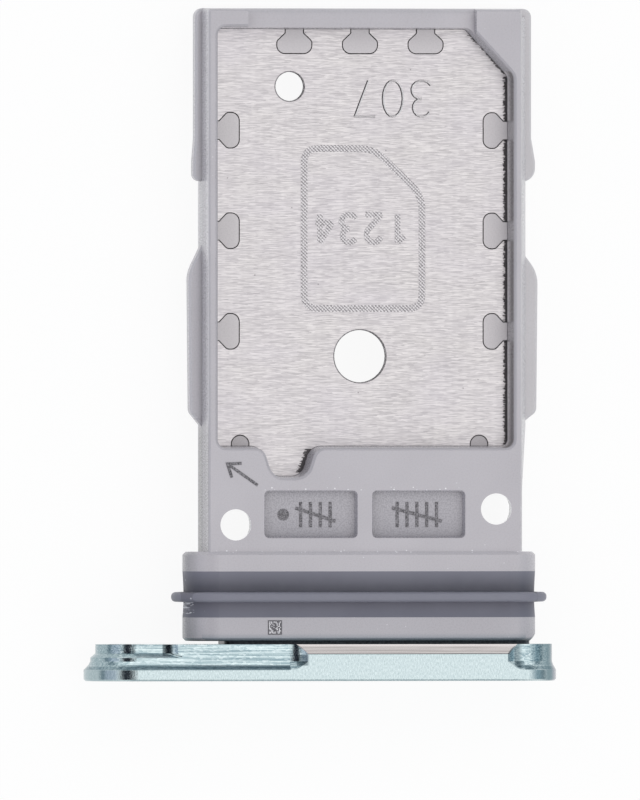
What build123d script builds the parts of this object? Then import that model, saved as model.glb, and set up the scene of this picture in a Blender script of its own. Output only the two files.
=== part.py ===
from build123d import *
import math
import os

# A slide-in card tray: two nano cards lie back to back on a thin steel plate.
# Millimetres. X runs along the cap, +Y is the way the tray slides in, +Z is up.
# The ejector hole is at the -X end of the cap, and both faces of the frame are alike.

os.makedirs("parts", exist_ok=True)

# Nano card and its pocket
card_width = 8.8
card_length = 12.3
card_play_width = 0.12
card_play_length = 0.22
pocket_depth = 0.85
pocket_draft = 3.4
pocket_corner = 0.2
pocket_rim_bevel = 0.08
card_corner_width = 1.3
card_corner_length = 1.4
card_corner_radius = 0.35

# Thumb notch at the pocket's near edge
thumb_from_middle = 2.31
thumb_mouth = 1.54
thumb_bottom = 0.96
thumb_depth = 0.9
thumb_radius = 0.42

# Steel plate
plate_thickness = 0.2
plate_embed = 0.15
plate_far_embed = 0.3
plate_near_embed = 1.3
plate_corner = 0.3
round_hole_radius = 0.8
round_hole_from_middle = 0.04
round_hole_from_near = 2.7
locating_hole_radius = 0.45
locating_hole_from_left = 2.28
locating_hole_from_far = 1.73
rivet_radius = 0.27
rivet_from_edge = 0.06
rivet_left_inset = 0.77
rivet_right_inset = 0.87

# Keyed notches that lock the plate into the moulding
key_neck = 0.56
key_head = 1.07
key_reach = 0.745
key_neck_length = 0.13
key_shoulder = 0.37
key_head_corner = 0.25
key_shoulder_radius = 0.15
side_key_pitch = 3.015
side_key_from_middle = 0.2
far_key_pitch = 2.0
far_key_from_middle = 0.04

# Moulded frame
left_wall = 0.375
right_wall = 0.335
far_wall = 0.615
shelf_length = 3.165
frame_corner = 0.12
frame_edge_bevel = 0.06
wall_lean = 0.04
far_corner_radius = 0.26
flange_reach = 0.23
flange_bevel_drop = 0.2
far_step_drop = 0.28
far_step_left = 1.25
far_step_right = 1.43
far_edge_radius = 0.3

# Shelf details
pad_width = 2.84
pad_length = 1.43
pad_gap = 0.44
pad_corner = 0.15
pad_depth = 0.22
pad_draft = 15
pad_from_collar = 1.125
shelf_hole_radius = 0.47
shelf_hole_land = 0.1
shelf_hole_mouth = 0.74
left_hole_inset = 0.87
left_hole_from_collar = 0.81
right_hole_inset = 0.83
right_hole_from_collar = 1.28

# Guide rails
rail_thickness = 0.5
left_far_rail_reach = 0.2
right_far_rail_reach = 0.415
left_detent = 0.055
right_detent = 0.12
left_detent_radius = 0.22
right_detent_radius = 0.4
left_near_rail_reach = 0.4
right_near_rail_reach = 0.615
far_rail_length = 5.19
detent_length = 1.3
detent_ramp = 0.7
near_rail_far_end = 7.1
near_rail_near_end = 12.55
near_rail_ramp = 0.84
near_rail_ramp_radius = 1.0
near_rail_taper = 0.04
near_rail_foot = 0.45
near_rail_tip_radius = 0.25
rail_edge_bevel = 0.07
rail_run_out = 0.01

# Collar, tenon and seal
collar_left_step = 0.555
collar_right_step = 0.485
collar_length = 2.67
collar_height = 2.1
collar_end_radius = 0.9
collar_edge_bevel = 0.09
collar_relief = 0.24
seal_width = 1.38
seal_from_collar_back = 0.585
groove_depth = 0.35
seal_valley = 0.03
seal_lip_height = 0.34
seal_lip_root = 0.31
seal_lip_tip = 0.28
seal_lip_shift = 0.08
seal_lip_radius = 0.13
tenon_left_inset = 1.15
tenon_right_inset = 0.22
tenon_height = 1.3
tenon_corner = 0.2
tenon_grip = 0.6
neck_gap = 0.1

# Cap
cap_width = 14.35
cap_height = 2.8
cap_depth = 1.1
frame_shift = 1.24
cap_lip = 0.33
cap_lip_bevel = 0.05
rebate_slope = 0.26
rebate_slope_knee = 0.15
rebate_knee_depth = 0.14
rebate_depth = 0.2
rebate_right_depth = 0.12
end_cutter_radius = 0.8
left_rebate_length = 6.57
right_rebate_length = 1.7
second_rebate_depth = 0.15
second_rebate_length = 2.65
second_rebate_width = 0.27
second_rebate_slope = 0.13
rear_bevel_depth = 0.28
rear_bevel_drop = 0.175
ejector_inset = 1.31
ejector_radius = 0.58
ejector_mouth_radius = 0.72

# Heights
frame_height = 2 * pocket_depth + plate_thickness
mid_z = cap_height / 2
plate_bottom_z = mid_z - plate_thickness / 2
plate_top_z = mid_z + plate_thickness / 2
frame_bottom_z = mid_z - frame_height / 2
frame_top_z = mid_z + frame_height / 2

# Places along the tray
pocket_width = card_width + card_play_width
pocket_length = card_length + card_play_length
total_length = cap_depth + neck_gap + collar_length + shelf_length + pocket_length + far_wall
cap_face_y = -total_length / 2
cap_back_y = cap_face_y + cap_depth
collar_front_y = cap_back_y + neck_gap
collar_back_y = collar_front_y + collar_length
pocket_near_y = collar_back_y + shelf_length
pocket_far_y = pocket_near_y + pocket_length
frame_far_y = pocket_far_y + far_wall
pocket_mid_y = (pocket_near_y + pocket_far_y) / 2

# Places across the tray
pocket_left_x = frame_shift - pocket_width / 2
pocket_right_x = frame_shift + pocket_width / 2
frame_left_x = pocket_left_x - left_wall
frame_right_x = pocket_right_x + right_wall
collar_left_x = frame_left_x - collar_left_step
collar_right_x = frame_right_x + collar_right_step
collar_mid_x = (collar_left_x + collar_right_x) / 2
collar_width = collar_right_x - collar_left_x

overlap = 0.2
bevel_angle = 45
corner_tolerance = 0.02


def across(y):
    """Plane across the tray at y: local x is X, local y is Z, facing the cap's front."""
    return Plane(origin=(0, y, 0), x_dir=(1, 0, 0), z_dir=(0, -1, 0))


def corners_at(outline, places):
    """Corners of an outline that lie at the given places."""
    return outline.vertices().filter_by(
        lambda v: any(abs(v.X - x) + abs(v.Y - y) < corner_tolerance for x, y in places)
    )


def pocket_outline(z):
    """Card pocket with its cut corner and thumb notch."""
    thumb_x = frame_shift - thumb_from_middle
    square_corners = [
        (pocket_left_x, pocket_near_y),
        (pocket_left_x, pocket_far_y),
        (pocket_right_x - card_corner_width, pocket_far_y),
        (pocket_right_x, pocket_near_y),
    ]
    cut_corner = (pocket_right_x, pocket_far_y - card_corner_length)
    thumb_corners = [
        (thumb_x + thumb_mouth / 2, pocket_near_y),
        (thumb_x + thumb_bottom / 2, pocket_near_y - thumb_depth),
        (thumb_x - thumb_bottom / 2, pocket_near_y - thumb_depth),
        (thumb_x - thumb_mouth / 2, pocket_near_y),
    ]
    with BuildSketch(Plane.XY.offset(z)) as outline:
        with BuildLine():
            Polyline(*square_corners[:3], cut_corner, square_corners[3], *thumb_corners, close=True)
        make_face()
        fillet(corners_at(outline, thumb_corners), thumb_radius)
        fillet(corners_at(outline, [cut_corner]), card_corner_radius)
        fillet(corners_at(outline, square_corners), pocket_corner)
    return outline.sketch


def key_outline():
    """Keyed notch: a neck at the pocket's edge that opens into a wide head along local +y."""
    with BuildSketch() as key:
        with BuildLine():
            Polyline(
                (key_neck / 2, -plate_far_embed - overlap),
                (key_neck / 2, key_neck_length),
                (key_head / 2, key_shoulder),
                (key_head / 2, key_reach),
                (-key_head / 2, key_reach),
                (-key_head / 2, key_shoulder),
                (-key_neck / 2, key_neck_length),
                (-key_neck / 2, -plate_far_embed - overlap),
                close=True,
            )
        make_face()
        fillet(key.vertices().group_by(Axis.Y)[-1], key_head_corner)
        fillet(key.vertices().filter_by_position(Axis.Y, key_shoulder, key_shoulder), key_shoulder_radius)
    return key.sketch


def plate_outline(z):
    """Steel plate with its keyed notches, rivet holes and round holes."""
    with BuildSketch(Plane.XY.offset(z)) as outline:
        with BuildLine():
            Polyline(
                (pocket_left_x - plate_embed, pocket_near_y - plate_near_embed),
                (pocket_left_x - plate_embed, pocket_far_y + plate_far_embed),
                (pocket_right_x + plate_embed, pocket_far_y + plate_far_embed),
                (pocket_right_x + plate_embed, pocket_near_y - plate_near_embed),
                close=True,
            )
        make_face()
        fillet(outline.vertices(), plate_corner)
        key = key_outline()
        side_key_y = pocket_mid_y + side_key_from_middle
        with Locations((pocket_left_x, side_key_y)):
            with GridLocations(1, side_key_pitch, 1, 3):
                add(key, rotation=-90, mode=Mode.SUBTRACT)
        with Locations((pocket_right_x, side_key_y)):
            with GridLocations(1, side_key_pitch, 1, 3):
                add(key, rotation=90, mode=Mode.SUBTRACT)
        with Locations((frame_shift - far_key_from_middle, pocket_far_y)):
            with GridLocations(far_key_pitch, 1, 3, 1):
                add(key, rotation=180, mode=Mode.SUBTRACT)
        with Locations(*rivet_places()):
            Circle(rivet_radius, mode=Mode.SUBTRACT)
        with Locations(round_hole_place()):
            Circle(round_hole_radius, mode=Mode.SUBTRACT)
        with Locations(locating_hole_place()):
            Circle(locating_hole_radius, mode=Mode.SUBTRACT)
    return outline.sketch


def rivet_places():
    rivet_y = pocket_near_y + rivet_from_edge
    return [(pocket_left_x + rivet_left_inset, rivet_y), (pocket_right_x - rivet_right_inset, rivet_y)]


def round_hole_place():
    return (frame_shift - round_hole_from_middle, pocket_near_y + round_hole_from_near)


def locating_hole_place():
    return (pocket_left_x + locating_hole_from_left, pocket_far_y - locating_hole_from_far)


def shelf_hole_places():
    left = (frame_left_x + left_hole_inset, collar_back_y + left_hole_from_collar)
    right = (frame_right_x - right_hole_inset, collar_back_y + right_hole_from_collar)
    return [left, right]


def far_rail(side, wall_x, reach, detent, detent_radius):
    """Rail from the far edge, with a shallow detent at its near end."""
    near_y = frame_far_y - far_rail_length
    far_tip = (wall_x + side * reach, frame_far_y)
    near_tip = (wall_x + side * (reach + detent), near_y)
    with BuildPart() as rail:
        with BuildSketch(Plane.XY.offset(mid_z)) as outline:
            with BuildLine():
                Polyline(
                    (wall_x - side * overlap, frame_far_y),
                    far_tip,
                    (wall_x + side * reach, near_y + detent_length),
                    (wall_x + side * (reach + detent), near_y + detent_length - detent_ramp),
                    near_tip,
                    (wall_x - side * overlap, near_y),
                    close=True,
                )
            make_face()
            fillet(corners_at(outline, [far_tip]), far_corner_radius)
            fillet(corners_at(outline, [near_tip]), detent_radius)
        extrude(amount=-rail_thickness)
        chamfer(rail.edges().group_by(Axis.Z)[-1], rail_edge_bevel)
        chamfer(rail.edges().group_by(Axis.Z)[0], rail_edge_bevel)
    return rail.part


def near_rail(side, wall_x, reach):
    """Rail beside the pocket's near half, ramped at both ends."""
    far_y = frame_far_y - near_rail_far_end
    near_y = frame_far_y - near_rail_near_end
    far_tip = (wall_x + side * reach, far_y - near_rail_ramp)
    near_tip = (wall_x + side * (reach - near_rail_taper), near_y + near_rail_foot)
    with BuildPart() as rail:
        with BuildSketch(Plane.XY.offset(mid_z)) as outline:
            with BuildLine():
                Polyline(
                    (wall_x - side * overlap, far_y),
                    (wall_x, far_y),
                    far_tip,
                    near_tip,
                    (wall_x, near_y),
                    (wall_x - side * overlap, near_y),
                    close=True,
                )
            make_face()
            fillet(corners_at(outline, [far_tip]), near_rail_ramp_radius)
            fillet(corners_at(outline, [near_tip]), near_rail_tip_radius)
        extrude(amount=-rail_thickness)
        chamfer(rail.edges().group_by(Axis.Z)[-1], rail_edge_bevel)
        chamfer(rail.edges().group_by(Axis.Z)[0], rail_edge_bevel)
    return rail.part


# Steel plate
with BuildPart() as base_plate:
    extrude(plate_outline(plate_bottom_z), amount=plate_thickness)

base_plate.part.label = "base_plate"
export_step(base_plate.part, "parts/base_plate.step")


# Seal ring: a band that dips on both sides towards one tapered lip with a rounded tip
seal_mid_y = collar_back_y - seal_from_collar_back - seal_width / 2
groove_half_width = collar_width / 2 - groove_depth
groove_half_height = collar_height / 2 - groove_depth
with BuildPart() as seal_ring:
    with BuildLine(across(seal_mid_y)) as seal_path:
        FilletPolyline(
            (collar_mid_x - groove_half_width, mid_z + groove_half_height),
            (collar_mid_x + groove_half_width, mid_z + groove_half_height),
            (collar_mid_x + groove_half_width, mid_z - groove_half_height),
            (collar_mid_x - groove_half_width, mid_z - groove_half_height),
            radius=collar_end_radius - groove_depth,
            close=True,
        )
    with BuildSketch(Plane(seal_path.line @ 0, x_dir=(0, 1, 0), z_dir=seal_path.line % 0)) as section:
        with BuildLine():
            Polyline(
                (-seal_width / 2, 0),
                (-seal_width / 2, groove_depth),
                (-seal_lip_shift - seal_lip_root / 2, groove_depth - seal_valley),
                (-seal_lip_shift - seal_lip_tip / 2, groove_depth + seal_lip_height),
                (-seal_lip_shift + seal_lip_tip / 2, groove_depth + seal_lip_height),
                (-seal_lip_shift + seal_lip_root / 2, groove_depth - seal_valley),
                (seal_width / 2, groove_depth),
                (seal_width / 2, 0),
                close=True,
            )
        make_face()
        fillet(section.vertices().group_by(Axis.Y)[-1], seal_lip_radius)
    sweep()

seal_ring.part.label = "seal_ring"
export_step(seal_ring.part, "parts/seal_ring.step")


# Collar with a tenon that reaches into the cap
tenon_left_x = collar_left_x + tenon_left_inset
tenon_right_x = collar_right_x - tenon_right_inset
tenon_mid_x = (tenon_left_x + tenon_right_x) / 2
tenon_width = tenon_right_x - tenon_left_x
with BuildPart() as collar:
    with BuildSketch(across(collar_back_y)):
        with Locations((collar_mid_x, mid_z)):
            RectangleRounded(collar_width, collar_height, collar_end_radius)
    extrude(amount=collar_length)
    chamfer(collar.edges().group_by(Axis.Y)[0], collar_edge_bevel)
    chamfer(collar.edges().group_by(Axis.Y)[-1], collar_edge_bevel)
    with BuildSketch(Plane.XY.offset(mid_z)):
        with BuildLine():
            Polyline(
                (collar_right_x + overlap, collar_front_y - overlap),
                (collar_right_x + overlap, collar_front_y + collar_relief + overlap),
                (collar_right_x - collar_relief - overlap, collar_front_y - overlap),
                close=True,
            )
        make_face()
    extrude(amount=collar_height, both=True, mode=Mode.SUBTRACT)
    with BuildSketch(across(collar_front_y)):
        with Locations((tenon_mid_x, mid_z)):
            RectangleRounded(tenon_width, tenon_height, tenon_corner)
    extrude(amount=neck_gap + tenon_grip)


def flange_section(y, reach):
    """Section of the thicker lower half of the right wall."""
    bevel_z = frame_top_z - flange_bevel_drop
    bevel_x = frame_right_x - wall_lean * (bevel_z - mid_z) / (frame_height / 2)
    with BuildSketch(across(y)) as section:
        with BuildLine():
            Polyline(
                (frame_right_x - overlap, frame_bottom_z + frame_edge_bevel),
                (frame_right_x + reach, frame_bottom_z + frame_edge_bevel),
                (frame_right_x + reach, mid_z),
                (bevel_x, bevel_z),
                (bevel_x - overlap, bevel_z),
                close=True,
            )
        make_face()
    return section.sketch


# Moulded frame
with BuildPart() as tray_frame:
    with BuildSketch(Plane.XY.offset(mid_z)) as outline:
        with BuildLine():
            Polyline(
                (frame_left_x, collar_front_y + collar_length / 2),
                (frame_left_x, frame_far_y),
                (frame_right_x, frame_far_y),
                (frame_right_x, collar_front_y + collar_length / 2),
                close=True,
            )
        make_face()
        fillet(outline.vertices().group_by(Axis.Y)[-1], frame_corner)
    wall_draft = math.degrees(math.atan2(wall_lean, frame_height / 2))
    extrude(amount=frame_height / 2, taper=wall_draft)
    mirror(about=Plane.XY.offset(mid_z))
    chamfer(tray_frame.edges().group_by(Axis.Z)[-1], frame_edge_bevel)
    chamfer(tray_frame.edges().group_by(Axis.Z)[0], frame_edge_bevel)

    # Thicker lower half of the right wall, run out towards the collar
    flange_near_y = frame_far_y - near_rail_near_end
    extrude(flange_section(flange_near_y, flange_reach), amount=-(near_rail_near_end - far_corner_radius))
    loft([flange_section(flange_near_y, flange_reach), flange_section(collar_back_y - overlap, rail_run_out)])

    add(far_rail(-1, frame_left_x, left_far_rail_reach, left_detent, left_detent_radius))
    add(far_rail(1, frame_right_x, right_far_rail_reach, right_detent, right_detent_radius))
    add(near_rail(-1, frame_left_x, left_near_rail_reach))
    add(near_rail(1, frame_right_x, right_near_rail_reach))
    add(collar.part)

    # Card pockets on both faces, drafted so that they open outwards, with a bevelled rim
    with BuildPart(mode=Mode.PRIVATE) as top_pocket:
        extrude(pocket_outline(plate_top_z), amount=pocket_depth - pocket_rim_bevel, taper=-pocket_draft)
        extrude(top_pocket.faces().sort_by(Axis.Z)[-1], amount=pocket_rim_bevel, taper=-bevel_angle)
    add(top_pocket.part, mode=Mode.SUBTRACT)
    add(mirror(top_pocket.part, about=Plane.XY.offset(mid_z), mode=Mode.PRIVATE), mode=Mode.SUBTRACT)

    # Lowered middle of the far wall, rounded off at the far edge
    step_left_x = frame_left_x + far_step_left
    step_right_x = frame_right_x - far_step_right
    step_z = frame_top_z - far_step_drop
    with BuildSketch(Plane.YZ.offset(step_left_x)) as far_step:
        with BuildLine():
            Polyline(
                (frame_far_y, step_z - far_edge_radius),
                (frame_far_y + overlap, step_z - far_edge_radius),
                (frame_far_y + overlap, frame_top_z + overlap),
                (pocket_far_y - overlap, frame_top_z + overlap),
                (pocket_far_y - overlap, step_z),
                (frame_far_y - far_edge_radius, step_z),
            )
            RadiusArc(
                (frame_far_y - far_edge_radius, step_z),
                (frame_far_y, step_z - far_edge_radius),
                far_edge_radius,
            )
        make_face()
        mirror(about=Plane.XZ.offset(-mid_z))
    extrude(amount=step_right_x - step_left_x, mode=Mode.SUBTRACT)

    # Shallow pads for marks
    with BuildSketch(Plane.XY.offset(frame_top_z)):
        with Locations((frame_shift - far_key_from_middle, collar_back_y + pad_from_collar)):
            with GridLocations(pad_width + pad_gap, 1, 2, 1):
                RectangleRounded(pad_width, pad_length, pad_corner)
    extrude(amount=-pad_depth, taper=pad_draft, mode=Mode.SUBTRACT)

    # Shelf holes, straight at the top and widening to the underside
    with Locations(*shelf_hole_places()):
        Hole(shelf_hole_radius)
    with Locations(*[(x, y, frame_bottom_z) for x, y in shelf_hole_places()]):
        Cone(
            bottom_radius=shelf_hole_mouth,
            top_radius=shelf_hole_radius,
            height=frame_height - shelf_hole_land,
            align=(Align.CENTER, Align.CENTER, Align.MIN),
            mode=Mode.SUBTRACT,
        )

    # Groove for the seal
    with BuildSketch(across(seal_mid_y + seal_width / 2)):
        with Locations((collar_mid_x, mid_z)):
            Rectangle(collar_width + overlap, collar_height + overlap)
            RectangleRounded(
                2 * groove_half_width,
                2 * groove_half_height,
                collar_end_radius - groove_depth,
                mode=Mode.SUBTRACT,
            )
    extrude(amount=seal_width, mode=Mode.SUBTRACT)

    # Room for the plate, and its round holes
    add(base_plate.part, mode=Mode.SUBTRACT)
    with Locations(round_hole_place()):
        Hole(round_hole_radius)
    with Locations(locating_hole_place()):
        Hole(locating_hole_radius)

tray_frame.part.label = "tray_frame"
export_step(tray_frame.part, "parts/tray_frame.step")


# Cap
lip_back_y = cap_face_y + cap_lip
slope_back_y = lip_back_y + rebate_slope
bridge_left_x = -cap_width / 2 + left_rebate_length
bridge_right_x = cap_width / 2 - right_rebate_length


def cutter_run(depth):
    """How far a round cutter's concave end runs back from where it leaves the surface."""
    return (2 * end_cutter_radius * depth - depth**2) ** 0.5


# Full-height middle of the cap, with the concave ends that a tapered cutter leaves
bridge_run = cutter_run(rebate_depth)
cutter_z = rebate_depth - end_cutter_radius
cutter_places = [
    (x, y)
    for x in (bridge_left_x - bridge_run, bridge_right_x + bridge_run)
    for y in (cutter_z, cap_height - cutter_z)
]
with BuildPart() as bridge:
    with BuildSketch(across(cap_back_y)):
        with BuildLine():
            Polyline(
                (bridge_left_x - bridge_run, 0),
                (bridge_left_x - bridge_run, cap_height),
                (bridge_right_x + bridge_run, cap_height),
                (bridge_right_x + bridge_run, 0),
                close=True,
            )
        make_face()
    extrude(amount=cap_back_y - lip_back_y)
    with BuildSketch(across(cap_back_y)):
        with Locations(*cutter_places):
            Circle(end_cutter_radius)
    extrude(amount=cap_back_y - slope_back_y, mode=Mode.SUBTRACT)
    for x, z in cutter_places:
        with Locations(Plane(origin=(x, slope_back_y, z), x_dir=(1, 0, 0), z_dir=(0, -1, 0))):
            Cone(
                bottom_radius=end_cutter_radius,
                top_radius=end_cutter_radius - rebate_depth,
                height=rebate_slope,
                align=(Align.CENTER, Align.CENTER, Align.MIN),
                mode=Mode.SUBTRACT,
            )


def rebate_outline(y, depth):
    """Outline of the cap inside its end rebates, where they are this deep."""
    left_x = -cap_width / 2 + depth
    right_x = cap_width / 2 - depth * rebate_right_depth / rebate_depth
    with BuildSketch(across(y)) as outline:
        with Locations(((left_x + right_x) / 2, mid_z)):
            SlotOverall(right_x - left_x, cap_height - 2 * depth)
    return outline.sketch


def second_cut(y, depth):
    """What a second rebate this deep takes away, with the cutter's concave ends."""
    floor_depth = rebate_depth + depth
    end_x = -cap_width / 2 + second_rebate_length - cutter_run(depth)
    with BuildSketch(across(y)) as cut:
        with BuildLine():
            Polyline(
                (-cap_width, -cap_height),
                (-cap_width, 2 * cap_height),
                (end_x, 2 * cap_height),
                (end_x, -cap_height),
                close=True,
            )
        make_face()
        with Locations((-cap_width / 2 + floor_depth, mid_z)):
            SlotOverall(
                cap_width,
                cap_height - 2 * floor_depth,
                align=(Align.MIN, Align.CENTER),
                mode=Mode.SUBTRACT,
            )
        with Locations(
            (end_x, floor_depth - end_cutter_radius),
            (end_x, cap_height - floor_depth + end_cutter_radius),
        ):
            Circle(end_cutter_radius)
    return cut.sketch


with BuildPart() as face_cap:
    # Lip with the full outline, then the hollow slope down into the rebate
    with BuildSketch(across(lip_back_y)) as lip_outline:
        with Locations((0, mid_z)):
            SlotOverall(cap_width, cap_height)
    extrude(amount=cap_lip)
    chamfer(face_cap.edges().group_by(Axis.Y)[0], cap_lip_bevel)
    knee_outline = rebate_outline(lip_back_y + rebate_slope_knee, rebate_knee_depth)
    loft([lip_outline.sketch, knee_outline])
    loft([knee_outline, rebate_outline(slope_back_y, rebate_depth)])
    extrude(rebate_outline(cap_back_y, rebate_depth), amount=cap_back_y - slope_back_y)
    add(bridge.part)

    # Deeper second rebate at the ejector end, with a slope at its front
    second_floor_y = cap_back_y - second_rebate_width
    second_floor = second_cut(second_floor_y, second_rebate_depth)
    second_front = second_cut(second_floor_y - second_rebate_slope, 0)
    extrude(second_floor, amount=-second_rebate_width, mode=Mode.SUBTRACT)
    loft([second_floor, second_front], mode=Mode.SUBTRACT)

    # Bevel along the middle's rear edges
    with BuildSketch(Plane.YZ):
        with BuildLine():
            Polyline(
                (cap_back_y - rear_bevel_depth, cap_height),
                (cap_back_y, cap_height - rear_bevel_drop),
                (cap_back_y, cap_height),
                close=True,
            )
        make_face()
        mirror(about=Plane.XZ.offset(-mid_z))
    extrude(amount=cap_width / 2, both=True, mode=Mode.SUBTRACT)

    # Socket for the tenon
    with BuildSketch(across(cap_back_y)):
        with Locations((tenon_mid_x, mid_z)):
            RectangleRounded(tenon_width, tenon_height, tenon_corner)
    extrude(amount=tenon_grip, mode=Mode.SUBTRACT)

    # Ejector hole
    with Locations(across(cap_face_y).location * Location((-cap_width / 2 + ejector_inset, mid_z, 0))):
        CounterSinkHole(ejector_radius, ejector_mouth_radius, counter_sink_angle=2 * bevel_angle)

face_cap.part.label = "face_cap"
export_step(face_cap.part, "parts/face_cap.step")
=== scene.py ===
import math
import random
from collections import namedtuple

import bmesh
import bpy
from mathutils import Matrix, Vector


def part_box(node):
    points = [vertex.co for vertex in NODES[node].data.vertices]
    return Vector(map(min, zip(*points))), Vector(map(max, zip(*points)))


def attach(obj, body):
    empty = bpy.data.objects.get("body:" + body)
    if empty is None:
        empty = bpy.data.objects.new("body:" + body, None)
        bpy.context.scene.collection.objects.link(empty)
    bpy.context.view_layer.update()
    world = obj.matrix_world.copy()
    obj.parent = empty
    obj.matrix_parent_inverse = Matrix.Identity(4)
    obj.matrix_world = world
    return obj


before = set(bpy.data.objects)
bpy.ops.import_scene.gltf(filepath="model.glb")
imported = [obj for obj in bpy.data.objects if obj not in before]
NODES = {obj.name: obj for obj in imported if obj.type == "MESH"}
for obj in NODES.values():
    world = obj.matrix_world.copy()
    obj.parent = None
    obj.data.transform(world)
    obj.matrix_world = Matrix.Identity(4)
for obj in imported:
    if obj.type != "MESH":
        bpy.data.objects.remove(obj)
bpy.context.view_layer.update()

random.seed(7)

MM = 0.001


def top_of(name):
    """Height of a node's highest point, in millimetres."""
    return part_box(name)[1][2] / MM


# Heights in millimetres that the marks and the colour masks lie at
CAP_TOP = top_of("face_cap")
PLATE_TOP = top_of("base_plate")
PLATE_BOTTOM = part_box("base_plate")[0][2] / MM
FRAME_TOP = PLATE_TOP + 0.85
COLLAR_TOP = top_of("tray_frame")
PAD_FLOOR = FRAME_TOP - 0.22

# The same as heights above the tray's middle, for masks that hold on both faces
MIDDLE = CAP_TOP / 2
PLATE_HALF = PLATE_TOP - MIDDLE
FRAME_HALF = FRAME_TOP - MIDDLE
RIM_HALF = FRAME_HALF - 0.08
COLLAR_HALF = COLLAR_TOP - MIDDLE
RAIL_HALF = 0.27

# Places in millimetres along X or Y that the colours follow
POCKET_MIDDLE_X = 1.24
POCKET_X, POCKET_Y = (-3.3, 5.8), (-3.3, 9.6)
KEY_ROWS, KEY_REACH = (0.39, 3.405, 6.42), 0.3
RIVETS_FAR_END = -2.6
PADS_X, PADS_Y = (-1.87, 4.27), (-5.83, -4.35)
SHELF_HOLES, SHELF_HOLE_REACH = ((-2.725, -5.405), (5.205, -4.935)), 0.76
LEFT_WALL_X, LEFT_RAILS_X, RIGHT_RAILS_X = -3.535, -3.64, 5.95
RAILS_NEAR_END = -2.2
COLLAR_BACK = -6.2
SEAL_MIDDLE_X, SEAL_LIP_REACH = 1.045, 5.4
CAP_REBATES_FRONT = -9.74
CAP_BEVEL_FRONT = -9.262

# The walls whose reflections are painted on the plate as dark strips: a point at the wall's foot
# and its normal, the strip's depth, and its near and far ends
MirroredWall = namedtuple("MirroredWall", "foot normal depth near far")
MIRRORED_WALLS = (
    MirroredWall((5.7, 0.0), (1.0, 0.0), 0.105, -3.0, 8.05),
    MirroredWall((5.05, 8.77), (0.733, 0.68), 0.035, 8.1, 9.4),
    MirroredWall((-0.42, -3.3), (0.93, -0.36), 0.08, -3.84, -3.13),
)

# The scoops in the left ends of the cap's rebates, where dark is painted as shade: left, right, near and
# far
LEFT_SCOOPS = ((-4.97, -4.68, -9.33, -8.9), (-0.93, -0.6, -9.62, -9.3))


def linear(r, g, b):
    """An sRGB colour of 0 to 255 as the linear values that a shader takes."""
    def one(v):
        v = v / 255
        return v / 12.92 if v <= 0.04045 else ((v + 0.055) / 1.055) ** 2.4
    return (one(r), one(g), one(b), 1.0)


# A place on the object as sockets: X, Y and Z, and the height above or below the tray's middle
Spot = namedtuple("Spot", "x y z height")


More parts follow.
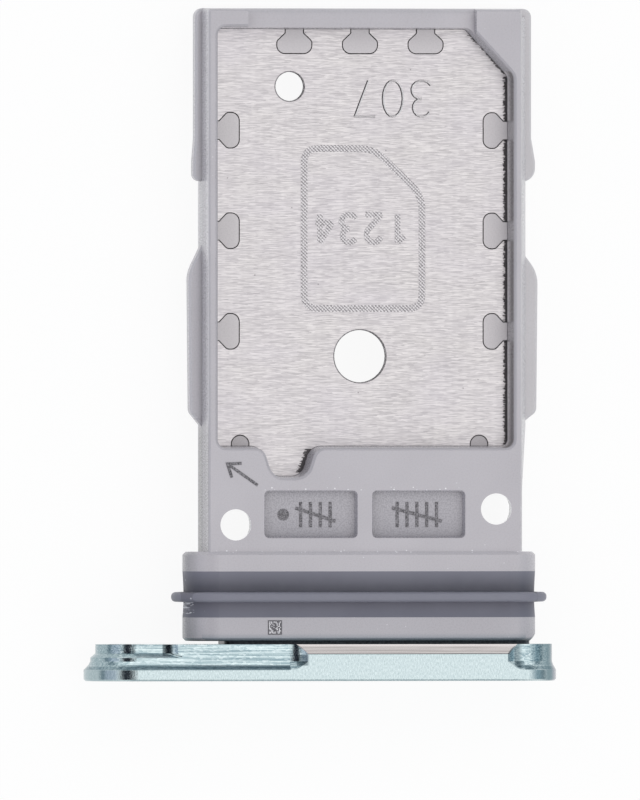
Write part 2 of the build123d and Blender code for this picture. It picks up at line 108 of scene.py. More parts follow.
class Nodes:
    """Short names for building one node tree. Lengths are in millimetres."""

    def __init__(self, owner):
        owner.use_nodes = True
        self.tree = owner.node_tree
        self.tree.nodes.clear()

    def fill(self, socket, value):
        """Link a socket to another, or set it to a value."""
        if isinstance(value, bpy.types.NodeSocket):
            self.tree.links.new(value, socket)
        else:
            socket.default_value = value

    def add(self, kind, inputs=None, **settings):
        node = self.tree.nodes.new(kind)
        for name, value in settings.items():
            setattr(node, name, value)
        for name, value in (inputs or {}).items():
            self.fill(node.inputs[name], value)
        return node

    def place(self, stretch=(1, 1, 1), turn=0.0):
        """Object coordinates, stretched along each axis and turned about Z."""
        coord = self.add("ShaderNodeTexCoord")
        scale = tuple(s / MM for s in stretch)
        mapping = self.add("ShaderNodeMapping", {"Vector": coord.outputs["Object"], "Scale": scale,
                                                 "Rotation": (0, 0, turn)})
        return mapping.outputs["Vector"]

    def axes(self, where):
        return self.add("ShaderNodeSeparateXYZ", {"Vector": where}).outputs

    def spot(self, where):
        x, y, z = self.axes(where)
        return Spot(x, y, z, self.away(z, MIDDLE))

    def noise(self, where, scale, detail=2.0, rough=0.5):
        inputs = {"Vector": where, "Scale": scale, "Detail": detail, "Roughness": rough}
        return self.add("ShaderNodeTexNoise", inputs).outputs["Fac"]

    def dashes(self, where):
        """A random value for each cell of a stretched pattern."""
        cells = self.add("ShaderNodeTexVoronoi", {"Vector": where, "Scale": 1.0})
        return self.axes(cells.outputs["Color"])[0]

    def specks(self, where, scale, share, size):
        """Small round dots, in this share of the cells of a random pattern."""
        cells = self.add("ShaderNodeTexVoronoi", {"Vector": where, "Scale": scale})
        chosen = self.above(self.axes(cells.outputs["Color"])[0], 1 - share)
        return self.math("MULTIPLY", chosen, self.spread(cells.outputs["Distance"], size, size / 2))

    def spread(self, value, low, high, to_low=0.0, to_high=1.0):
        """Map low and high to two other values, without going past them."""
        node = self.add("ShaderNodeMapRange", {"Value": value, "From Min": low, "From Max": high,
                                               "To Min": to_low, "To Max": to_high})
        return node.outputs["Result"]

    def step(self, value, low, high):
        """Go smoothly from 0 at low to 1 at high."""
        node = self.add("ShaderNodeMapRange", {"Value": value, "From Min": low, "From Max": high},
                        interpolation_type="SMOOTHSTEP")
        return node.outputs["Result"]

    def math(self, operation, a, b=0.0):
        node = self.add("ShaderNodeMath", operation=operation)
        for socket, value in zip(node.inputs, (a, b)):
            self.fill(socket, value)
        return node.outputs[0]

    def away(self, value, middle):
        """How far a value is from a middle, on either side."""
        return self.math("ABSOLUTE", self.math("SUBTRACT", value, middle))

    def above(self, value, limit):
        return self.math("GREATER_THAN", value, limit)

    def below(self, value, limit):
        return self.math("LESS_THAN", value, limit)

    def between(self, value, low, high):
        return self.math("MULTIPLY", self.above(value, low), self.below(value, high))

    def all_of(self, *masks):
        result = masks[0]
        for mask in masks[1:]:
            result = self.math("MULTIPLY", result, mask)
        return result

    def mix(self, amount, a, b):
        node = self.add("ShaderNodeMix", data_type="RGBA")
        for socket, value in zip((node.inputs[0], node.inputs[6], node.inputs[7]), (amount, a, b)):
            self.fill(socket, value)
        return node.outputs[2]

    def paint(self, colour, mask, rgb, amount=None):
        """Lay an sRGB colour over another where the mask is 1, wholly or by an amount."""
        if amount is not None:
            mask = self.math("MULTIPLY", mask, amount)
        return self.mix(mask, colour, linear(*rgb))

    def bump(self, height, strength, depth_mm):
        inputs = {"Height": height, "Strength": strength, "Distance": depth_mm * MM}
        return self.add("ShaderNodeBump", inputs).outputs["Normal"]

    def finish(self, **inputs):
        inputs = {name.replace("_", " "): value for name, value in inputs.items()}
        shader = self.add("ShaderNodeBsdfPrincipled", inputs)
        self.add("ShaderNodeOutputMaterial", {"Surface": shader.outputs[0]})


def new_material(name):
    material = bpy.data.materials.new(name)
    return material, Nodes(material)


# The moulded plastic, one part of the frame after another

def paint_keys_and_pads(n, colour, at, grain):
    """Paler where it fills the plate's notches, partly its own tone and partly painted light that
    offsets the pocket's shade; darker and grainier in the shelf's two pads.
    """
    in_plate = n.all_of(n.below(at.height, PLATE_HALF + 0.01), n.between(at.y, *POCKET_Y),
                        n.between(at.x, *POCKET_X))
    # Partly painted light: the keys are paler to offset the shade in the pocket
    colour = n.paint(colour, in_plate, (206, 201, 203))
    colour = n.paint(colour, n.all_of(in_plate, n.below(at.y, RIVETS_FAR_END)), (190, 185, 187))
    in_pads = n.all_of(n.between(at.z, PAD_FLOOR - 0.02, FRAME_TOP - 0.015), n.between(at.y, *PADS_Y),
                       n.between(at.x, *PADS_X))
    pad_colour = n.mix(n.spread(at.y, -5.8, -4.4), linear(166, 163, 169), linear(184, 181, 186))
    pad_colour = n.paint(pad_colour, n.spread(grain, 0.6, 0.4, 0.0, 0.5), (142, 139, 146))
    return n.mix(in_pads, colour, pad_colour)


def paint_sides(n, colour, at):
    """The outer walls and the rails: painted light on the upper left side, the left rails and the right
    side, painted shade along the left rails' foot, on the bare left wall and in the creases where faces
    meet, and a dark parting line.
    """
    left = n.all_of(n.below(at.x, LEFT_WALL_X), n.above(at.y, COLLAR_BACK))
    # Painted light: the upper left side is lighter
    colour = n.paint(colour, left, (224, 221, 224), n.spread(at.height, 0.5, 0.7, 0.0, 0.5))
    on_rail = n.all_of(left, n.below(at.height, RAIL_HALF), n.above(at.y, RAILS_NEAR_END))
    # Painted light on the left rails
    colour = n.paint(colour, on_rail, (212, 209, 213), 0.5)
    # Painted shade along the left rails' foot, by the wall
    colour = n.paint(colour, on_rail, (90, 87, 90), n.spread(at.x, -3.72, -3.62, 0.0, 0.2))
    # Painted shade on the bare left wall, darker on its lower half
    bare_wall = n.all_of(left, n.above(at.x, LEFT_RAILS_X), n.spread(at.y, -2.1, -2.8))
    darkness = n.spread(at.z, MIDDLE + 0.02, MIDDLE - 0.02, 0.4, 0.8)
    colour = n.paint(colour, bare_wall, (130, 127, 130), darkness)
    parting = n.math("MULTIPLY", bare_wall, n.below(at.height, 0.1))
    colour = n.paint(colour, parting, (96, 93, 96), 0.4)
    # Painted light: the right side is lighter
    right = n.all_of(n.above(at.x, RIGHT_RAILS_X), n.above(at.y, COLLAR_BACK))
    colour = n.paint(colour, right, (216, 213, 214), 0.5)
    # Painted shade in the creases where faces meet, from ambient occlusion
    crease = n.add("ShaderNodeAmbientOcclusion", {"Distance": 0.3 * MM}, samples=8).outputs["AO"]
    return n.paint(colour, n.spread(crease, 0.55, 0.1, 0.0, 0.75), (84, 81, 85))


def paint_pocket(n, colour, at):
    """The pocket's rim, with a painted shade line, and its walls, with painted reflections of the pale
    keys and the dark steel between them.
    """
    # Painted shade: a dark line along the rim
    rim = n.all_of(n.between(at.height, RIM_HALF, RIM_HALF + 0.028), n.between(at.x, -3.4, 5.9),
                   n.between(at.y, -3.2, 9.6))
    colour = n.paint(colour, rim, (130, 127, 131), 0.3)
    # Painted light and shade on the walls: bright at the foot, darker above, paler beside the keys
    by_key = 0.0
    for key_y in KEY_ROWS:
        by_key = n.math("MAXIMUM", n.between(at.y, key_y - KEY_REACH, key_y + KEY_REACH), by_key)
    above_foot = n.spread(at.height, PLATE_HALF + 0.05, PLATE_HALF + 0.5)
    shade = n.mix(above_foot, linear(236, 230, 231), linear(148, 142, 143))
    shade = n.paint(shade, by_key, (166, 162, 164))
    walls = n.all_of(n.between(at.height, PLATE_HALF + 0.005, RIM_HALF),
                     n.between(n.away(at.x, POCKET_MIDDLE_X), 4.2, 4.62), n.between(at.y, -3.1, 8.2))
    return n.mix(walls, colour, shade)


def paint_shelf_holes(n, colour, at):
    """Painted light: the shelf holes' walls are painted near white, as if lit from below."""
    for hole_x, hole_y in SHELF_HOLES:
        away_x, away_y = n.math("SUBTRACT", at.x, hole_x), n.math("SUBTRACT", at.y, hole_y)
        squared = n.math("ADD", n.math("MULTIPLY", away_x, away_x), n.math("MULTIPLY", away_y, away_y))
        in_hole = n.all_of(n.below(squared, SHELF_HOLE_REACH ** 2), n.below(at.z, FRAME_TOP - 0.02))
        colour = n.paint(colour, in_hole, (250, 249, 250))
    return colour


def paint_collar(n, colour, at):
    """Darker in front, with painted shade on the rounded left end, a painted reflection of the cap's
    colour along the front edge, and a painted shade line where it meets the cap.
    """
    colour = n.paint(colour, n.spread(at.y, -8.0, -8.1, 0.0, 0.5), (170, 168, 174))
    # Painted shade on the rounded left end
    left_end_shade = n.math("MULTIPLY", n.spread(at.x, -3.85, -4.3, 0.0, 0.7), n.below(at.y, COLLAR_BACK))
    colour = n.paint(colour, left_end_shade, (112, 111, 116))
    # Painted reflection of the cap's teal colour on the front edge
    cap_reflection = n.math("MULTIPLY", n.spread(at.y, -8.66, -8.85, 0.0, 0.7), n.above(at.height, 0.9))
    colour = n.paint(colour, cap_reflection, (120, 134, 144))
    # Painted shade: a dark line in the gap by the cap
    return n.paint(colour, n.spread(at.y, -8.83, -8.87, 0.0, 0.75), (40, 50, 56))


def paint_dust(n, colour, at, where):
    """Pale specks on the flat faces, thicker along the pads and the collar."""
    by_pads = n.math("MULTIPLY", n.between(at.y, -4.37, -4.27), n.between(at.x, -2.0, 4.4))
    by_collar = n.math("MULTIPLY", n.between(at.y, -6.24, -6.16), 0.7)
    along_edges = n.math("MULTIPLY", n.specks(where, 10.0, 0.45, 0.3),
                         n.math("MAXIMUM", by_pads, by_collar))
    everywhere = n.math("MULTIPLY", n.specks(where, 7.0, 0.05, 0.15), 0.6)
    dust = n.math("MAXIMUM", everywhere, along_edges)
    return n.paint(colour, dust, (238, 237, 240), n.above(at.height, FRAME_HALF - 0.08))


def moulded_plastic():
    """Pale grey-lilac plastic with a fine grain."""
    material, n = new_material("moulded_plastic")
    where = n.place()
    at = n.spot(where)
    cloud = n.noise(where, 0.35, 3.0)
    grain = n.noise(where, 22.0, 2.0, 0.7)
    colour = n.mix(n.spread(cloud, 0.35, 0.65), linear(186, 182, 187), linear(192, 188, 193))
    colour = n.paint(colour, n.spread(grain, 0.3, 0.7, 0.0, 0.3), (170, 167, 173))
    colour = paint_keys_and_pads(n, colour, at, grain)
    colour = paint_sides(n, colour, at)
    colour = paint_pocket(n, colour, at)
    colour = paint_shelf_holes(n, colour, at)
    colour = paint_collar(n, colour, at)
    colour = paint_dust(n, colour, at, where)
    n.finish(Base_Color=colour, Roughness=n.spread(grain, 0.3, 0.7, 0.24, 0.32),
             Normal=n.bump(grain, 0.3, 0.002))
    return material


# The other materials

def brushed_steel():
    """Steel with fine short brush lines along X, and jagged dark strips of painted reflection beside the
    walls.
    """
    material, n = new_material("brushed_steel")
    where = n.place()
    x, y, _ = n.axes(where)
    long_lines = n.noise(n.place((1.6, 60, 1)), 1.0, 0.0)
    short_lines = n.dashes(n.place((4.5, 64, 1)))
    lines = n.math("ADD", n.math("MULTIPLY", long_lines, 0.2), n.math("MULTIPLY", short_lines, 0.8))
    cloud = n.noise(n.place((0.5, 0.9, 1)), 1.0, 2.0)
    colour = n.mix(n.spread(lines, 0.1, 0.9), linear(174, 170, 172), linear(216, 212, 212))
    colour = n.paint(colour, n.spread(cloud, 0.3, 0.7, 0.0, 0.2), (194, 188, 200))
    scratch = n.spread(n.noise(n.place((2.4, 60, 1)), 1.0, 1.0), 0.3, 0.24)
    colour = n.paint(colour, scratch, (120, 116, 118), 0.5)
    colour = n.paint(colour, n.specks(where, 2.5, 0.2, 0.07), (96, 92, 94), 0.6)

    jag = n.spread(n.dashes(n.place((0.6, 34, 1))), 0.0, 1.0, -0.05, 0.04)
    # Painted reflections of the walls, as dark strips beside them
    for wall in MIRRORED_WALLS:
        depth = n.math("ADD", n.math("MULTIPLY", n.math("SUBTRACT", wall.foot[0], x), wall.normal[0]),
                       n.math("MULTIPLY", n.math("SUBTRACT", wall.foot[1], y), wall.normal[1]))
        strip = n.math("MULTIPLY", n.below(n.math("ADD", depth, jag), wall.depth),
                       n.between(y, wall.near, wall.far))
        colour = n.paint(colour, strip, (60, 57, 59), 0.93)
    across = n.add("ShaderNodeCombineXYZ", {"X": 0.0, "Y": 1.0, "Z": 0.0})
    n.finish(Base_Color=colour, Metallic=1.0, Roughness=0.3, Anisotropic=0.85, Tangent=across.outputs[0],
             Normal=n.bump(long_lines, 0.25, 0.003))
    return material


def seal_rubber():
    """Soft blue-grey rubber, with painted shade that darkens the band toward the lip, a painted lighter
    lip, and dust and scuffs at the left end.
    """
    material, n = new_material("seal_rubber")
    where = n.place()
    at = n.spot(where)
    cloud = n.noise(where, 0.8, 3.0)
    # Painted shade: the band darkens toward the lip
    shade_behind_lip = n.mix(n.spread(at.y, -6.85, -7.25), linear(113, 113, 125), linear(84, 84, 95))
    ahead_of_lip = n.mix(n.spread(at.y, -7.75, -8.1), linear(108, 107, 119), linear(104, 105, 118))
    colour = n.mix(n.above(at.y, -7.45), ahead_of_lip, shade_behind_lip)
    # Painted light: the lip is paler
    lip = n.math("MAXIMUM", n.above(at.height, COLLAR_HALF + 0.03),
                 n.above(n.away(at.x, SEAL_MIDDLE_X), SEAL_LIP_REACH))
    colour = n.paint(colour, lip, (124, 124, 136))
    colour = n.paint(colour, n.spread(cloud, 0.35, 0.65, 0.0, 0.12), (140, 140, 150))
    dust = n.specks(n.place((1, 0.6, 1), 0.5), 12.0, 0.08, 0.25)
    dust = n.math("MULTIPLY", dust, n.spread(at.x, -3.5, -4.1))
    scratch = n.spread(n.noise(n.place((5, 14, 1), 0.9), 1.0, 2.0, 0.8), 0.56, 0.62)
    scuffs = n.all_of(scratch, n.between(at.x, -4.3, -3.95), n.between(at.y, -8.1, -7.72))
    colour = n.paint(colour, n.math("MAXIMUM", dust, scuffs), (222, 222, 228))
    skin = n.noise(where, 14.0, 2.0, 0.6)
    n.finish(Base_Color=colour, Roughness=0.5, Normal=n.bump(skin, 0.2, 0.004))
    return material


def paint_rebates(n, colour, at, lines, in_rebate):
    """Cutter lines and ticks in the cap's rebates, with painted shade on the slope and in the scoops at
    their ends.
    """
    ticks = n.dashes(n.place((10, 26, 26)))
    lined = n.mix(n.spread(lines, 0.35, 0.65), linear(112, 138, 148), linear(212, 228, 230))
    lined = n.paint(lined, n.spread(ticks, 0.3, 0.0, 0.0, 0.5), (120, 148, 158))
    lined = n.paint(lined, n.spread(ticks, 0.7, 1.0, 0.0, 0.5), (232, 244, 246))
    colour = n.mix(n.math("MULTIPLY", in_rebate, 0.85), colour, lined)
    # Painted shade on the slope
    on_slope = n.all_of(n.between(at.y, -9.745, -9.65), in_rebate)
    colour = n.paint(colour, on_slope, (66, 96, 108), n.spread(ticks, 0.2, 0.8, 0.15, 0.7))
    scoop_shade_colour = (36, 58, 68)
    # Painted shade in the scoops
    for left, right, near, far in LEFT_SCOOPS:
        scoop = n.all_of(n.spread(at.x, right + 0.04, right - 0.04), n.above(at.x, left),
                         n.between(at.y, near, far))
        colour = n.paint(colour, scoop, scoop_shade_colour, 0.6)
    right_scoop = n.all_of(in_rebate, n.above(at.x, 5.7), n.spread(at.x, 5.96, 5.84))
    return n.paint(colour, right_scoop, scoop_shade_colour, 0.5)


def paint_cap_ends(n, colour, at):
    """The rounded ends are painted duller and bluer as shade and reflections, with a painted pale
    highlight at the very right end.
    """
    # Painted shade, reflections and highlight on the rounded ends
    colour = n.paint(colour, n.spread(at.x, 6.5, 6.8, 0.0, 0.7), (70, 106, 118))
    colour = n.paint(colour, n.spread(at.x, 6.9, 7.05, 0.0, 0.5), (184, 176, 188))
    return n.paint(colour, n.spread(at.x, -6.2, -6.6, 0.0, 0.3), (96, 126, 138))


def paint_bevel(n, colour, at, lines):
    """The bevel is bare metal between its two slanting ends, with a dark line along its front."""
    slant = n.math("SUBTRACT", at.y, CAP_BEVEL_FRONT)
    from_left = n.math("ADD", at.x, n.math("MULTIPLY", slant, 1.15))
    from_right = n.math("SUBTRACT", at.x, n.math("MULTIPLY", slant, 0.9))
    bevel = n.all_of(n.above(at.y, CAP_BEVEL_FRONT), n.above(at.height, MIDDLE - 0.178),
                     n.above(from_left, -0.61), n.below(from_right, 5.54))
    bare = n.mix(n.spread(lines, 0.35, 0.65), linear(160, 155, 154), linear(190, 185, 184))
    bare = n.paint(bare, n.spread(at.y, -9.06, -9.02, 0.0, 0.8), (214, 209, 208))
    colour = n.mix(bevel, colour, bare)
    edge = n.all_of(n.between(at.y, CAP_BEVEL_FRONT - 0.023, CAP_BEVEL_FRONT),
                    n.above(at.height, MIDDLE - 0.05))
    return n.paint(colour, edge, (90, 96, 98))


def blasted_anodised():
    """Pale green-blue anodised metal."""
    material, n = new_material("blasted_anodised")
    at = n.spot(n.place())
    grain = n.noise(n.place((1.0, 0.35, 1.0)), 30.0, 2.0, 0.7)
    lines = n.noise(n.place((0.3, 26, 26)), 1.0, 2.0, 0.8)
    in_rebate = n.all_of(n.above(at.y, CAP_REBATES_FRONT), n.below(at.height, MIDDLE - 0.03))
    colour = n.mix(n.spread(grain, 0.3, 0.7), linear(174, 190, 193), linear(206, 219, 221))
    colour = paint_rebates(n, colour, at, lines, in_rebate)
    colour = paint_cap_ends(n, colour, at)
    colour = paint_bevel(n, colour, at, lines)
    relief = n.math("ADD", grain, n.math("MULTIPLY", lines, in_rebate))
    n.finish(Base_Color=colour, Metallic=1.0, Roughness=n.spread(grain, 0.3, 0.7, 0.13, 0.2),
             Normal=n.bump(relief, 0.6, 0.004))
    return material


def plain(name, dark, pale, grain_per_mm, roughness, specular=0.5):
    """A material with a grain between two colours."""
    material, n = new_material(name)
    grain = n.noise(n.place(), grain_per_mm, 2.0, 0.7)
    colour = n.mix(n.spread(grain, 0.35, 0.65), linear(*dark), linear(*pale))
    n.finish(Base_Color=colour, Roughness=roughness, Specular_IOR_Level=specular,
             Normal=n.bump(grain, 0.4, 0.004))
    return material


def hatched_etch(pitch=0.105):
    """Etching with two sets of slanting lines."""
    material, n = new_material("hatched_etch")
    x, y, _ = n.axes(n.place())
    waves = [n.math("ABSOLUTE", n.math("SINE", n.math("MULTIPLY", n.math(way, x, y), math.pi / pitch)))
             for way in ("ADD", "SUBTRACT")]
    grain = n.noise(n.place(), 20.0, 2.0, 0.7)
    hatch = n.math("MINIMUM", waves[0], n.math("ADD", waves[1], 0.25))
    hatch = n.math("ADD", hatch, n.spread(grain, 0.3, 0.7, -0.35, 0.35))
    colour = n.mix(n.spread(hatch, 0.1, 0.85), linear(126, 122, 125), linear(224, 220, 222))
    n.finish(Base_Color=colour, Metallic=0.7, Roughness=0.42, Normal=n.bump(hatch, 0.3, 0.003))
    return material


def stamped_steel_painted_light():
    """Steel with painted shade on the slopes facing -X and a painted highlight on those facing +X."""
    material, n = new_material("stamped_steel_painted_light")
    facing = n.axes(n.add("ShaderNodeNewGeometry").outputs["Normal"])[0]
    lines = n.noise(n.place((5.0, 40, 1)), 1.0, 1.0, 0.7)
    colour = n.mix(n.spread(lines, 0.3, 0.7), linear(184, 180, 182), linear(214, 210, 210))
    # Painted shade on slopes facing -X, painted highlight on those facing +X
    colour = n.paint(colour, n.spread(facing, -0.15, -0.5), (84, 80, 82))
    colour = n.paint(colour, n.spread(facing, 0.15, 0.5), (250, 248, 248))
    n.finish(Base_Color=colour, Metallic=0.3, Roughness=0.4, Normal=n.bump(lines, 0.3, 0.003))
    return material


def repaint(name, material):
    mesh = NODES[name].data
    mesh.materials.clear()
    mesh.materials.append(material)


repaint("tray_frame", moulded_plastic())
repaint("base_plate", brushed_steel())
repaint("seal_ring", seal_rubber())
repaint("face_cap", blasted_anodised())


# Flat bands and plates that the marks and the joint lines are made of

SKIN = 0.008
STEP_UP = 0.002
LINE_WIDTH = 0.028


def add_band(bm, points, width, low, high, closed=False, slope=0.0):
    """Add a closed flat band along the points, its top narrower than its foot by twice the slope."""
    count = len(points)
    spots = [Vector(p) for p in points]
    rings = []
    for i, spot in enumerate(spots):
        before = spots[i - 1] if closed or i else spot
        after = spots[(i + 1) % count] if closed or i < count - 1 else spot
        ways = [(b - a).normalized() for a, b in ((before, spot), (spot, after)) if (b - a).length > 0]
        way = sum(ways, Vector((0, 0))).normalized()
        normal = Vector((-way.y, way.x))
        reach = 1 / max(0.5, normal.dot(Vector((-ways[0].y, ways[0].x))))
        ring = []
        for side, z, inset in ((1, low, 0), (-1, low, 0), (-1, high, slope), (1, high, slope)):
            flat = spot + normal * side * (width / 2 - inset) * reach
            ring.append(bm.verts.new((flat.x * MM, flat.y * MM, z * MM)))
        rings.append(ring)
    for i in range(count if closed else count - 1):
        here, there = rings[i], rings[(i + 1) % count]
        for k in range(4):
            bm.faces.new((here[k], here[(k + 1) % 4], there[(k + 1) % 4], there[k]))
    if not closed:
        bm.faces.new(rings[0])
        bm.faces.new(rings[-1][::-1])


def add_prism(bm, foot, top):
    """Add a closed piece between two outlines with as many points, given in millimetres."""
    foot = [bm.verts.new(Vector(point) * MM) for point in foot]
    top = [bm.verts.new(Vector(point) * MM) for point in top]
    bm.faces.new(foot[::-1])
    bm.faces.new(top)
    for i in range(len(foot)):
        k = (i + 1) % len(foot)
        bm.faces.new((foot[i], foot[k], top[k], top[i]))


def add_plate(bm, points, low, high):
    """Add a flat closed piece with this outline."""
    add_prism(bm, [(x, y, low) for x, y in points], [(x, y, high) for x, y in points])


def as_piece(bm, name, material):
    """Make the shape one piece that rides with the tray."""
    bmesh.ops.recalc_face_normals(bm, faces=bm.faces)
    mesh = bpy.data.meshes.new(name)
    bm.to_mesh(mesh)
    bm.free()
    mesh.materials.append(material)
    piece = bpy.data.objects.new(name, mesh)
    bpy.context.collection.objects.link(piece)
    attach(piece, "root")


def arc(cx, cy, rx, ry, start, end, steps=10):
    """Points along an ellipse, from one angle to another in degrees."""
    angles = [math.radians(start + (end - start) * i / steps) for i in range(steps + 1)]
    return [(cx + rx * math.cos(a), cy + ry * math.sin(a)) for a in angles]


def rounded(corners, radius, steps=6):
    """Outline through the corners, each rounded off."""
    points = []
    for i, corner in enumerate(corners):
        here = Vector(corner)
        to_before = (Vector(corners[i - 1]) - here).normalized()
        to_after = (Vector(corners[(i + 1) % len(corners)]) - here).normalized()
        start, end = here + to_before * radius, here + to_after * radius
        for k in range(steps + 1):
            t = k / steps
            points.append((1 - t) ** 2 * start + 2 * t * (1 - t) * here + t ** 2 * end)
    return points


# Plain numbers as strokes, each in a box of width 0.6 and height 1
STROKES = {
    "0": [arc(0.3, 0.5, 0.28, 0.5, 90, -270, 20)],
    "1": [[(0.34, 1.0), (0.34, 0.0)], [(0.1, 0.78), (0.34, 1.0)]],
    "2": [arc(0.3, 0.72, 0.26, 0.28, 165, -40) + [(0.02, 0.0)], [(0.0, 0.0), (0.6, 0.0)]],
    "3": [arc(0.28, 0.75, 0.25, 0.25, 150, -90), arc(0.28, 0.26, 0.29, 0.26, 90, -150)],
    "4": [[(0.44, 0.0), (0.44, 1.0)], [(0.44, 1.0), (0.0, 0.3)], [(0.0, 0.3), (0.6, 0.3)]],
    "7": [[(0.0, 1.0), (0.6, 1.0)], [(0.58, 1.0), (0.2, 0.0)]],
}


def add_number(bm, digits, centre, height, pitch, width, low, high, slope=0.0):
    """Add digits in a row, turned half round, so that they read from the far edge."""
    for i, digit in enumerate(digits):
        offset = (i - (len(digits) - 1) / 2) * pitch
        for k, stroke in enumerate(STROKES[digit]):
            points = [(centre[0] - offset - (x - 0.3) * height, centre[1] - (y - 0.5) * height)
                      for x, y in stroke]
            add_band(bm, points, width, low, high + k * STEP_UP, slope=slope)


# Card outline with a row of plain numbers, etched on the plate
bm = bmesh.new()
corners = [(-0.5, 1.08), (3.09, 1.08), (3.09, 4.47), (1.62, 5.88), (-0.5, 5.88)]
add_band(bm, rounded(corners, 0.42), 0.2, PLATE_TOP - SKIN, PLATE_TOP + SKIN, closed=True)
add_number(bm, "1234", (POCKET_MIDDLE_X, 3.48), 0.84, 0.76, 0.17, PLATE_TOP - SKIN, PLATE_TOP + SKIN)
as_piece(bm, "card_outline", hatched_etch())

# Plain number stamped up through the plate
bm = bmesh.new()
stamp_height = 0.035
add_number(bm, "307", (2.2, 7.38), 1.08, 0.86, 0.085, PLATE_TOP - SKIN, PLATE_TOP + stamp_height,
           slope=stamp_height)
as_piece(bm, "stamped_number", stamped_steel_painted_light())

# Tally strokes and a dot in the two pads, and an arrow beside the thumb notch
bm = bmesh.new()
low, high = PAD_FLOOR - SKIN, PAD_FLOOR + SKIN
pad_y, stroke_pitch, stroke_width = -5.1, 0.3, 0.1
for first_x, count in ((-0.72, 4), (2.22, 5)):
    for i in range(count):
        stroke_x = first_x + stroke_pitch * i
        add_band(bm, [(stroke_x, pad_y - 0.38), (stroke_x, pad_y + 0.38)], stroke_width, low, high)
    last_x = first_x + stroke_pitch * (count - 1)
    add_band(bm, [(first_x - 0.16, pad_y + 0.2), (last_x + 0.16, pad_y - 0.2)], stroke_width,
             low, high + SKIN)
add_plate(bm, arc(-1.25, pad_y, 0.18, 0.18, 0, 360, 20)[:-1], low, high)
arrow_foot, arrow_tip, arrow_width = Vector((-2.06, -4.22)), Vector((-2.98, -3.58)), 0.09
along = (arrow_tip - arrow_foot).normalized()
beside = Vector((-along.y, along.x))
barbs = [arrow_tip - along * 0.34 + beside * side * 0.26 for side in (1, -1)]
low, high = FRAME_TOP - SKIN, FRAME_TOP + SKIN
add_band(bm, [arrow_foot, arrow_tip - along * 0.06], arrow_width, low, high)
add_band(bm, [barbs[0], arrow_tip, barbs[1]], arrow_width, low, high + SKIN / 2)
as_piece(bm, "shelf_marks",
         plain("dark_marks", (56, 54, 58), (146, 143, 148), 26.0, 0.5))

# Small etched square with a random pattern on the collar, fuller toward its rim
bm = bmesh.new()
square_x, square_y, square = -1.556, -8.48, 0.43
half = square / 2
corners = [(square_x + i * half, square_y + j * half) for i, j in ((-1, -1), (1, -1), (1, 1), (-1, 1))]
add_plate(bm, corners, COLLAR_TOP - SKIN, COLLAR_TOP + SKIN)
as_piece(bm, "etched_square",
         plain("dark_square", (62, 61, 66), (118, 116, 121), 40.0, 0.5))
bm = bmesh.new()
cells = 11
cell = square / (cells + 2)
for i in range(cells):
    for j in range(cells):
        from_rim = min(i, j, cells - 1 - i, cells - 1 - j)
        share = 0.55 if from_rim < 2 else 0.3
        if random.random() < share:
            x0, y0 = square_x - half + (i + 1) * cell, square_y - half + (j + 1) * cell
            corners = [(x0, y0), (x0 + cell, y0), (x0 + cell, y0 + cell), (x0, y0 + cell)]
            add_plate(bm, corners, COLLAR_TOP, COLLAR_TOP + 2 * SKIN)
as_piece(bm, "etched_cells",
         plain("pale_cells", (150, 148, 153), (236, 234, 238), 34.0, 0.5))


# Dark joint lines where plastic and steel meet, and round the plate's holes

def level_edges(name, level):
    """Sharp edges of a node's mesh that lie at one height, as pairs of points."""
    weld, flat, sharp = 1e-7, 0.004, 0.5
    bm = bmesh.new()
    bm.from_mesh(NODES[name].data)
    bmesh.ops.remove_doubles(bm, verts=bm.verts, dist=weld)
    pairs = []
    for edge in bm.edges:
        at_level = all(abs(v.co.z / MM - level) < flat for v in edge.verts)
        if at_level and len(edge.link_faces) == 2 and edge.calc_face_angle(0) > sharp:
            pairs.append([(round(v.co.x / MM, 4), round(v.co.y / MM, 4)) for v in edge.verts])
    bm.free()
    return pairs


def chains(pairs):
    """Join edges end to end into loops of points."""
    near = {}
    for a, b in pairs:
        near.setdefault(a, []).append(b)
        near.setdefault(b, []).append(a)
    loops = []
    while near:
        start = next(iter(near))
        loop = [start]
        while True:
            options = near.get(loop[-1], [])
            if not options:
                near.pop(loop[-1], None)
                break
            ahead = options.pop()
            near[ahead].remove(loop[-1])
            if not options:
                near.pop(loop[-1], None)
            if ahead == start:
                break
            loop.append(ahead)
        if len(loop) > 3:
            loops.append(loop)
    return loops


bm = bmesh.new()
for level in (PLATE_TOP, PLATE_BOTTOM):
    for name in ("tray_frame", "base_plate"):
        for loop in chains(level_edges(name, level)):
            add_band(bm, loop, LINE_WIDTH, level - SKIN / 2, level + SKIN / 2, closed=True)
as_piece(bm, "joint_lines",
         plain("joint_shadow", (48, 45, 48), (150, 146, 149), 16.0, 0.6))

# Dark bead round the tenon, between cap and collar, put there as painted shade in the gap
bm = bmesh.new()
cap_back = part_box("face_cap")[1][1] / MM
gap, clear = 0.1, 0.002
left, right, low, high = -2.97, 6.15, 0.52, 2.28
outline = rounded([(left, low), (right, low), (right, high), (left, high)], 0.3)
wavy = [(x + random.uniform(-0.03, 0.03), z + random.uniform(-0.02, 0.02)) for x, z in outline]
add_prism(bm, [(x, cap_back + clear, z) for x, z in wavy],
          [(x, cap_back + gap - clear, z) for x, z in wavy])
as_piece(bm, "gap_shade_bead",
         plain("gap_shade_black", (44, 48, 54), (70, 74, 79), 12.0, 0.6, 0.1))

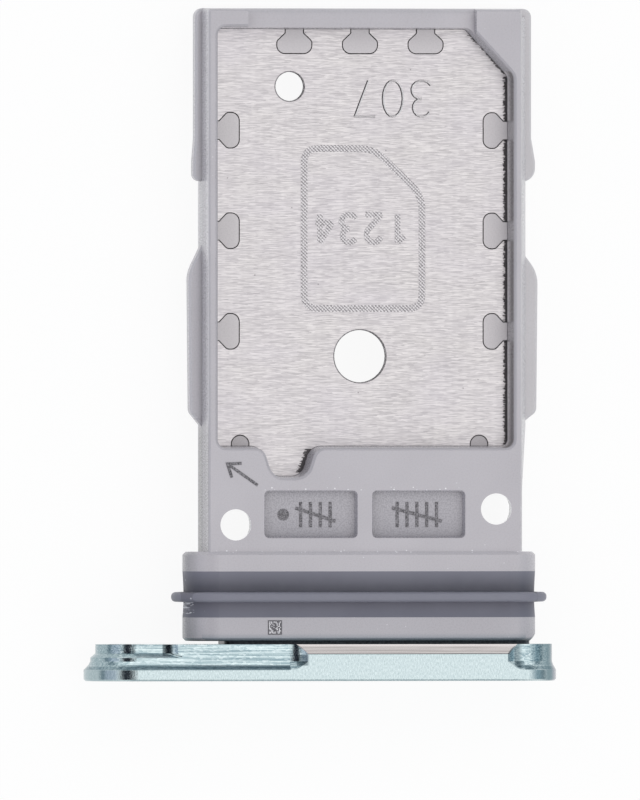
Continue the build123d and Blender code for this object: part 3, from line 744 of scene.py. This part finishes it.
# Floor, seen as white paper that keeps the object's shadow
reach = 3.0
mesh = bpy.data.meshes.new("floor")
mesh.from_pydata([(-reach, -reach, 0), (reach, -reach, 0), (reach, reach, 0), (-reach, reach, 0)], [],
                 [(0, 1, 2, 3)])
floor = bpy.data.objects.new("floor", mesh)
bpy.context.collection.objects.link(floor)
material, n = new_material("floor_paper")
path = n.add("ShaderNodeLightPath")
seen = n.math("MAXIMUM", path.outputs["Is Camera Ray"],
              n.math("MAXIMUM", path.outputs["Is Glossy Ray"], path.outputs["Is Transmission Ray"]))
paper = n.add("ShaderNodeBsdfDiffuse", {"Color": (0.92, 0.92, 0.92, 1)})
white = n.add("ShaderNodeEmission", {"Color": (1, 1, 1, 1), "Strength": 1.0})
mixed = n.add("ShaderNodeMixShader", {0: n.math("MULTIPLY", seen, 0.92), 1: paper.outputs[0],
                                      2: white.outputs[0]})
n.add("ShaderNodeOutputMaterial", {"Surface": mixed.outputs[0]})
mesh.materials.append(material)

# Light: a wide soft box overhead with a dark flag beside it, dimmer to the sides and low down
world = bpy.data.worlds.new("studio")
bpy.context.scene.world = world
n = Nodes(world)
x, y, z = n.axes(n.add("ShaderNodeTexCoord").outputs["Generated"])
sides = n.mix(n.step(x, -0.2, 0.2), (0.72, 0.75, 0.84, 1), (0.32, 0.43, 0.49, 1))
soft_box = n.math("MULTIPLY", n.step(x, -0.72, -0.62), n.step(x, 0.93, 0.62))
sky = n.mix(soft_box, sides, (1.28, 1.28, 1.28, 1))
flag_across = n.math("MULTIPLY", n.step(x, 0.04, -0.13), n.step(x, -0.68, -0.44))
flag_along = n.step(n.math("ABSOLUTE", y), 0.5, 0.32)
sky = n.mix(n.math("MULTIPLY", flag_across, flag_along), sky, (0.015, 0.018, 0.03, 1))
sky = n.mix(n.step(z, 0.34, 0.2), sky, (0.32, 0.39, 0.43, 1))
background = n.add("ShaderNodeBackground", {"Color": sky, "Strength": 1.0})
n.add("ShaderNodeOutputWorld", {"Surface": background.outputs[0]})

# Camera: straight above the middle of the photograph's frame, leaning to the ejector side.
# The sensor, the distance and the height that the picture shows are in millimetres
lean = math.radians(10)
sensor, distance, frame_height = 36, 900, 24
aim = Vector((0, -1.665 * MM, 1.4 * MM))
camera_data = bpy.data.cameras.new("camera")
camera_data.sensor_width = sensor
camera_data.lens = sensor * distance / frame_height
camera_data.clip_start = 0.01
camera_data.clip_end = 20
camera = bpy.data.objects.new("camera", camera_data)
camera.location = aim + Vector((-math.sin(lean), 0, math.cos(lean))) * distance * MM
camera.rotation_euler = (0, -lean, 0)
bpy.context.collection.objects.link(camera)
bpy.context.scene.camera = camera
bpy.context.scene.view_settings.view_transform = "Standard"
